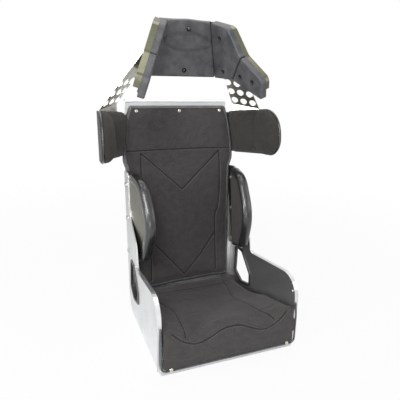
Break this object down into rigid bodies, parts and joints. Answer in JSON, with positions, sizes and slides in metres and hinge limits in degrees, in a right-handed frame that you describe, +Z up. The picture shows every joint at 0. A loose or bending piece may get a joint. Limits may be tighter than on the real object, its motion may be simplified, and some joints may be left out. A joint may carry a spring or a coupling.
{
  "type": "racing seat",
  "caption": "Full containment racing seat of folded aluminium sheet: rib, shoulder and head supports, padded covers held by press studs, and belt openings in its sides",
  "frame": {"origin": "centre of the bounding box's footprint, at floor level under the pan", "axes": "+X to the seat's image-right side (left hand of the sitter), +Y towards the back of the seat, +Z up"},
  "size_m": [0.5856, 0.5156, 0.9434],
  "materials": {
    "side_sheet": "bright mill finish with fine drawn lines",
    "pan_sheet": "satin mill finish",
    "support_sheet": "dull satin with fine handling marks",
    "head_sheet": "brushed satin",
    "bracket_sheet": "brushed, with deburred holes",
    "cover_cloth": "woven charcoal cloth, slightly warm",
    "pad_foam": "open cell foam, hidden inside the covers",
    "moulded_pad": "satin moulded self-skinning foam",
    "cover_vinyl": "glossy black vinyl binding",
    "edge_trim": "satin black rubber",
    "fastener_steel": "zinc plated",
    "pad_screw_steel": "black oxide",
    "snap_brass": "nickel plated over brass"
  },
  "bodies": {
    "root": {"seat_pan": "pan_sheet", "back_panel": "pan_sheet", "side_panel_left": "side_sheet", "side_panel_right": "side_sheet", "side_panel_rivets": "fastener_steel", "belt_trim_left": "edge_trim", "belt_trim_right": "edge_trim", "rib_support_left": "support_sheet", "rib_support_right": "support_sheet", "rib_foam_left": "pad_foam", "rib_foam_right": "pad_foam", "rib_cover_left": "cover_cloth", "rib_cover_right": "cover_cloth", "rib_bolts": "fastener_steel", "rib_nuts": "fastener_steel", "shoulder_plate_left": "support_sheet", "shoulder_plate_right": "support_sheet", "shoulder_foam_left": "pad_foam", "shoulder_foam_right": "pad_foam", "shoulder_cover_left": "cover_cloth", "shoulder_cover_right": "cover_cloth", "shoulder_bolts": "fastener_steel", "shoulder_nuts": "fastener_steel", "head_shell": "head_sheet", "head_bracket_left": "bracket_sheet", "head_bracket_right": "bracket_sheet", "bracket_bolts": "fastener_steel", "bracket_nuts": "fastener_steel", "head_pad_centre": "moulded_pad", "head_pad_side_left": "moulded_pad", "head_pad_side_right": "moulded_pad", "head_pad_wing_left": "moulded_pad", "head_pad_wing_right": "moulded_pad", "head_pad_screws": "pad_screw_steel", "head_pad_nuts": "fastener_steel", "back_foam": "pad_foam", "back_cover": "cover_cloth", "back_snap_studs": "fastener_steel", "back_snap_caps": "snap_brass", "seat_foam": "pad_foam", "seat_cover": "cover_cloth", "seat_snap_studs": "fastener_steel", "seat_snap_caps": "snap_brass"}
  },
  "joints": []
}
